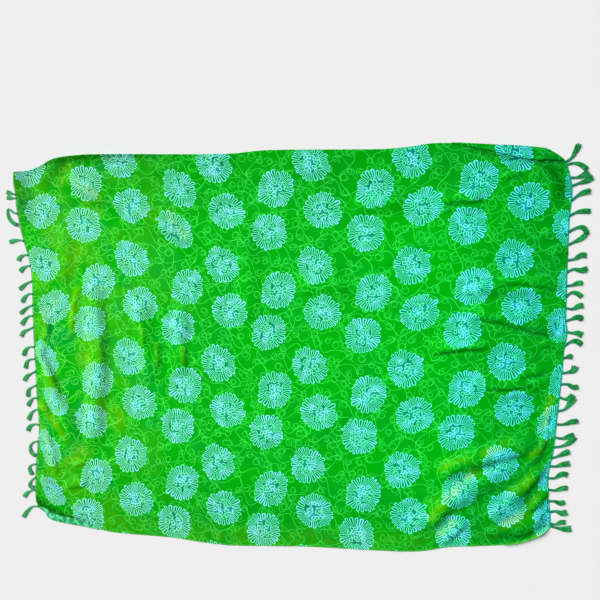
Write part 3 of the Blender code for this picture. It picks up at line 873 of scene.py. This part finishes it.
def printed_colour(shade):
    """The print's colour: green ground, wandering vines, and pale round flowers over them.

    The print is painted lighter and yellower towards the left end and darker towards the right one:
    painted light and shade along the length.
    """
    uv = shade.node("UVMap", {}, uv_map="print").outputs[0]
    flat = shade.vector("MULTIPLY", shade.strayed(uv, *PRINT_WANDER), (1.0, 1.0, 0.0))
    along, across, _ = shade.parts(uv)
    # Painted light: the print is painted sunnier towards the left end
    left = shade.fade(along, 0.02, 0.65)
    patchy = shade.noise(uv, 34.0, 1.0)
    # Painted highlight: yellowish on the folds' lit sides, broken up by patchy noise
    highlit = shade.times(shade.mark("painted_highlight"), shade.fade(patchy, 0.80, 0.15))
    ground = printed_ground(shade, uv, flat, left, highlit)

    spot, reach, kind = nearest_flower(shade, flat)
    x, y, _ = shade.parts(spot)
    turned = shade.times_plus(kind, 0.9, shade.number("ARCTAN2", y, x))
    oval = shade.number("SINE", shade.times_plus(turned, 2.0, kind))
    radial = shade.times(reach, shade.times_plus(oval, FLOWER_OVAL, 1.0))
    outer = petal_ring(shade, radial, turned, kind)
    middle = shade.fade(radial, FLOWER_RADIUS * 0.50, FLOWER_RADIUS * 0.57)
    heart = shade.higher(shade.fade(outer, *HEART_EDGE), middle)
    # The hearts' teal is painted sunnier towards the left end
    teal = shade.mix(left, TEAL, TEAL_SUNNY)
    teal = shade.mix(shade.fade(along, 1.50, 0.80), teal, TEAL_COOL)
    colour = shade.mix(shade.times(heart, HEART_STRENGTH), ground, teal)

    washed = shade.fade(patchy, 0.66, 0.46)
    core = shade.fade(radial, FLOWER_RADIUS * 0.05, FLOWER_RADIUS * 0.42)
    haze = shade.times_plus(washed, WASHED_HAZE, shade.times(middle, MIDDLE_HAZE))
    haze = shade.times_plus(core, CORE_HAZE, haze, clamp=True)
    colour = shade.mix(shade.times(haze, heart), colour, AQUA)

    fineness = shade.times_plus(radial, 1.2 / FLOWER_RADIUS, -0.05)
    petals = line_along(shade, shade.over(outer, fineness), PRINT_LINE)
    lines = shade.higher(petals, shade.times(curls(shade, flat), middle))
    # The lines are painted sunnier towards the left end
    ink = shade.mix(washed, shade.mix(left, MINT, MINT_SUNNY), MINT_WASHED)
    ink = shade.mix(shade.times(core, 0.5), ink, MINT_CORE)
    # Tints over the print: painted shade, less red and darker, towards the right end, darker towards
    # both long edges, and painted shade in the sharpest folds and at the corners. Columns: how strong
    # they are, colour, how much of it the lines take
    tints = (
        (shade.fade(along, 1.60, 0.60), LESS_RED, 1.0),
        (shade.fade(along, 1.55, 1.20), DEEPER_END, 0.45),
        (shade.fade(across, 0.00, 0.34), DEEPER_SIDE, 0.35),
        (shade.fade(across, 1.20, 0.93), DEEPER_SIDE, 0.35),
        # painted shade in the sharpest folds and at the corners
        (shade.mark("painted_shade"), SHADE_TINT, 0.9),
    )
    for strength, tint, on_lines in tints:
        colour = shade.vector("MULTIPLY", colour, shade.mix(strength, WHITE, tint))
        ink = shade.vector("MULTIPLY", ink, shade.mix(shade.times(strength, on_lines), WHITE, tint))
    # Painted highlight on the flowers' hearts and lines
    highlit_heart = shade.times(shade.times(highlit, heart), TEAL_HIGHLIGHT_SHARE, clamp=True)
    colour = shade.mix(highlit_heart, colour, TEAL_HIGHLIGHT)
    ink = shade.mix(shade.times(highlit, MINT_HIGHLIGHT_SHARE, clamp=True), ink, MINT_HIGHLIGHT)
    colour = shade.mix(lines, colour, ink)
    return shade.mix(shade.times(shade.mark("hem"), HEM_STRENGTH), colour, HEM), uv


def weave_bump(shade, uv):
    """Fine warp and weft threads, with slubs along both."""
    x, y, _ = shade.parts(uv)
    warp, weft = (shade.number("SINE", shade.times(side, THREADS * math.tau)) for side in (x, y))
    slubs = [
        shade.noise(shade.vector("MULTIPLY", uv, scales), 1.0, 2.0)
        for scales in ((60.0, 900.0, 1.0), (900.0, 60.0, 1.0))
    ]
    height = shade.times_plus(shade.times(warp, weft), 0.25, shade.plus(*slubs))
    return shade.bump(height, WEAVE_STRENGTH, WEAVE_DEPTH)


def cloth_face():
    shade = Shade("sarong_print_face")
    colour, uv = printed_colour(shade)
    return shade.surface({
        "Base Color": colour,
        "Normal": weave_bump(shade, uv),
        "Roughness": 0.5,
        "Specular IOR Level": 0.04,
        "Specular Tint": (0.4, 0.9, 0.15, 1.0),
        "Sheen Weight": 0.01,
        "Sheen Roughness": 0.4,
        "Sheen Tint": (0.6, 1.0, 0.3, 1.0),
    })


def cloth_reverse():
    """The wrong side: the dye shows through, duller and softer."""
    shade = Shade("sarong_print_reverse")
    colour, uv = printed_colour(shade)
    ghost = shade.fade(shade.noise(uv, 75.0), 0.60, 0.44)
    pale = shade.mix(shade.times(ghost, 0.75), REVERSE, MINT)
    return shade.surface({
        "Base Color": shade.mix(0.70, colour, pale),
        "Normal": weave_bump(shade, uv),
        "Roughness": 0.75,
        "Specular IOR Level": 0.12,
    })


# Tassels

def tassel_line(edge, row, side):
    """Middle line of one tassel, as a function of the share of its length."""
    root_y = row[0] * MILLIMETRE
    root_x = np.interp(root_y, edge[:, 1], edge[:, 0])
    root = np.array((root_x - side * MILLIMETRE, root_y)) + SHIFT
    offsets = np.array((0, 0, *row[1:])).reshape(-1, 2) * MILLIMETRE
    curve = smooth_curve(root + offsets)
    return lambda share: at_share(curve, share)[0]


class YarnMesh:
    """Tubes of yarn, each point with its share of the way to the tassel's tip, or -1 on the cord."""

    def __init__(self):
        self.points, self.faces, self.shares = [], [], []

    def add_tube(self, middles, asides, radii, shares, sides):
        first = len(self.points)
        for middle, aside, radius, share in zip(middles, asides, radii, shares):
            for k in range(sides):
                angle = math.tau * k / sides
                step = math.cos(angle) * radius
                rise = math.sin(angle) * radius
                x, y = middle[0] + aside[0] * step, middle[1] + aside[1] * step
                self.points.append((x, y, middle[2] + rise))
                self.shares.append(share)
        for ring in range(len(middles) - 1):
            for k in range(sides):
                a, b = first + ring * sides + k, first + ring * sides + (k + 1) % sides
                self.faces.append((a, b, b + sides, a + sides))
        last = first + (len(middles) - 1) * sides
        self.faces.append(tuple(first + k for k in reversed(range(sides))))
        self.faces.append(tuple(last + k for k in range(sides)))

    def finish(self, name, material):
        mesh = bpy.data.meshes.new(name)
        mesh.from_pydata(self.points, [], self.faces)
        mesh.materials.append(material)
        mesh.attributes.new("way_out", "FLOAT", "POINT").data.foreach_set("value", self.shares)
        return add_piece(name, mesh)


def make_fringe(name, edge, tassels, side, material):
    """Bundles of yarns, twisted at the root and brushed out at the tip, and the cord on the edge."""
    dice, fullness = random.Random(SEEDS[side]), FULLNESS[side]
    yarns = YarnMesh()
    bind_edge(yarns, edge, side)
    edge = edge[np.argsort(edge[:, 1])]
    for row in tassels:
        line = tassel_line(edge, row, side)
        manner = (dice.choice((-1.0, 1.0)), dice.uniform(*FLARE), dice.uniform(*TIP_LIFT), fullness)
        for count, ring_share in YARN_RINGS:
            for k in range(count):
                start = math.tau * (k + dice.uniform(-START_STRAY, START_STRAY)) / count
                stray = (dice.gauss(0.0, STRAY_ASIDE), dice.gauss(0.0, STRAY_UP))
                add_yarn(yarns, line, manner, start, ring_share, dice.uniform(*YARN_LENGTH), stray)
    return yarns.finish(name, material)


def bind_edge(yarns, edge, side):
    """The thin overcast cord along the cloth's short edge."""
    line = at_share(edge, np.linspace(*BINDING_SPAN, BINDING_STEPS)) + SHIFT
    line[:, 0] += side * BINDING_OUT
    way = np.gradient(line, axis=0)
    way /= np.linalg.norm(way, axis=1)[:, None]
    asides = np.column_stack((-way[:, 1], way[:, 0]))
    radius = BINDING_RADIUS[side]
    beads = radius * (1 + BEAD_SWELL * np.sin(np.arange(BINDING_STEPS) * BEAD_TURN))
    middles = np.column_stack((line, np.full(BINDING_STEPS, radius + BINDING_CLEAR)))
    yarns.add_tube(middles, asides, beads, [-1.0] * BINDING_STEPS, BINDING_SIDES)


def add_yarn(yarns, line, manner, start, ring_share, length, stray):
    turn_way, flare, lift_tip, fullness = manner
    bundle_shares, half_widths, half_heights = np.array(BUNDLE).T
    middles, asides, shares = [], [], []
    for section in range(YARN_SECTIONS):
        share = length * section / (YARN_SECTIONS - 1)
        here = line(share)
        ahead = line(min(share + LOOK_AHEAD, 1.0)) - line(max(share - LOOK_AHEAD, 0.0))
        ahead = ahead / np.linalg.norm(ahead)
        aside = np.array((-ahead[1], ahead[0]))
        half_width = fullness * np.interp(share, bundle_shares, half_widths) * MILLIMETRE
        half_height = fullness * np.interp(share, bundle_shares, half_heights) * MILLIMETRE
        loose = max(0.0, share - YARN_NECK) / (1 - YARN_NECK)
        half_width *= 1 + (flare - 1) * loose
        turned = start + turn_way * math.tau * YARN_TURNS * min(share, YARN_NECK) / YARN_NECK
        sideways = half_width * ring_share * math.cos(turned) + stray[0] * loose
        upward = half_height * (1 + ring_share * math.sin(turned)) + abs(stray[1]) * loose
        upward += lift_tip * share * share + YARN_RADIUS + YARN_CLEAR
        middles.append((here[0] + aside[0] * sideways, here[1] + aside[1] * sideways, upward))
        asides.append(aside)
        shares.append(share)
    radii = [YARN_RADIUS] * (YARN_SECTIONS - 1) + [YARN_RADIUS * YARN_TIP]
    yarns.add_tube(middles, asides, radii, shares, YARN_SIDES)


def yarn_material():
    shade = Shade("tassel_yarn")
    island = shade.node("NewGeometry", {}).outputs["Random Per Island"]
    place = shade.node("TexCoord", {}).outputs["Object"]
    streak = shade.noise(place, 300.0)
    mottled = shade.fade(shade.noise(place, 110.0), 0.64, 0.40)
    share = shade.times_plus(streak, 0.35, shade.times(island, 0.35))
    share = shade.times_plus(mottled, 0.45, shade.minus(share, 0.08))
    colour = shade.mix(share, YARN_DARK, YARN_LIGHT)
    way_out = shade.mark("way_out")
    colour = shade.mix(shade.times(shade.fade(way_out, 0.10, 0.55), 0.75), colour, YARN_ROOT)
    along, _, _ = shade.parts(place)
    # Painted light: the tassels towards the left end are painted paler
    colour = shade.mix(shade.times(shade.fade(along, -0.5, 0.5), 0.5), colour, YARN_LIT)
    return shade.surface({
        "Base Color": shade.mix(shade.fade(way_out, -0.6, -0.4), colour, CORD),
        "Normal": shade.bump(shade.noise(place, 1500.0), 0.4, 0.0003),
        "Roughness": 0.8,
        "Specular IOR Level": 0.2,
    })


# Floor, light and camera

FLOOR_REACH, FLOOR_DOWN = 6.0, 0.0002
WORLD_LIGHT = 0.224
SUN_LIGHT, SUN_SPREAD = 4.65, 45.0
SUN_WAY = (0.62, -0.42, -0.66)


def make_floor():
    mesh = bpy.data.meshes.new("floor")
    square = ((-1, -1), (1, -1), (1, 1), (-1, 1))
    corners = [(x * FLOOR_REACH, y * FLOOR_REACH, -FLOOR_DOWN) for x, y in square]
    mesh.from_pydata(corners, [], [(0, 1, 2, 3)])
    looks = {"Base Color": (*FLOOR, 1.0), "Roughness": 0.9, "Specular IOR Level": 0.1}
    mesh.materials.append(Shade("pale_floor").surface(looks))
    return link("floor", mesh)


def make_light():
    world = bpy.data.worlds.new("studio")
    bpy.context.scene.world = world
    world.use_nodes = True
    background = world.node_tree.nodes["Background"].inputs
    background["Color"].default_value = (1.0, 1.0, 1.0, 1.0)
    background["Strength"].default_value = WORLD_LIGHT
    key = bpy.data.lights.new("key", "SUN")
    key.energy = SUN_LIGHT
    key.angle = math.radians(SUN_SPREAD)
    link("key", key).rotation_euler = Vector(SUN_WAY).to_track_quat("-Z", "Y").to_euler()


# The camera looks almost straight down, from a little towards the upper right
CAMERA_PLACE = (0.369, 0.366, 2.391)
CAMERA_TURN = (-5.04, 7.58, 0.36)
CAMERA_VIEW = 40.0


def make_camera():
    lens = bpy.data.cameras.new("camera")
    lens.angle = math.radians(CAMERA_VIEW)
    camera = link("camera", lens)
    camera.location = np.add(CAMERA_PLACE, (*SHIFT, 0.0))
    camera.rotation_euler = [math.radians(angle) for angle in CAMERA_TURN]
    bpy.context.scene.camera = camera


def main():
    bpy.context.scene.view_settings.view_transform = "Standard"
    make_camera()
    make_light()
    floor = make_floor()
    cloth = make_cloth([cloth_face(), cloth_reverse()])
    yarn = yarn_material()
    left = make_fringe("tassels_left", EDGES["left"], LEFT_TASSELS, LEFT, yarn)
    right = make_fringe("tassels_right", EDGES["right"], RIGHT_TASSELS, RIGHT, yarn)
    for piece in (cloth, left, right):
        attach(piece, "root")
    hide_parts("panel", "turned_edge_bottom", "turned_edge_top")
    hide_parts("fringe_left")
    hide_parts("fringe_right")


main()
